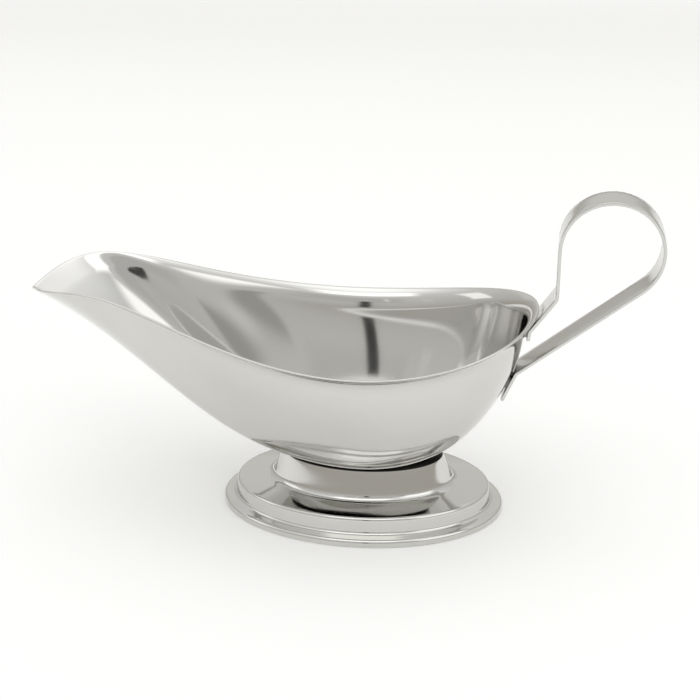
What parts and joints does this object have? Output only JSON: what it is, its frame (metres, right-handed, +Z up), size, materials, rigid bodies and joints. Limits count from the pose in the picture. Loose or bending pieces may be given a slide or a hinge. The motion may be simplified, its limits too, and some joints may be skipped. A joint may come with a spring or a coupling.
{
  "type": "gravy boat",
  "caption": "Footed stainless steel sauce boat with a long open pouring spout, flared lip, hollow oval pedestal foot and a bent flat-strap loop handle at the back.",
  "frame": {"origin": "centre of the foot's resting ring, on the table", "axes": "+X from the spout towards the handle, +Y across the boat, +Z up; the XZ plane is the boat's plane of symmetry"},
  "size_m": [0.2282, 0.0864, 0.124],
  "materials": {
    "polished_steel": "mirror-polished stainless steel sheet",
    "satin_steel": "tumble-polished stainless strip with a fine lengthwise grain",
    "weld_steel": "bare projection-weld metal"
  },
  "bodies": {
    "root": {"bowl": "polished_steel", "foot": "polished_steel", "handle": "satin_steel", "upper_handle_welds": "weld_steel", "lower_handle_welds": "weld_steel", "foot_welds": "weld_steel"}
  },
  "joints": []
}
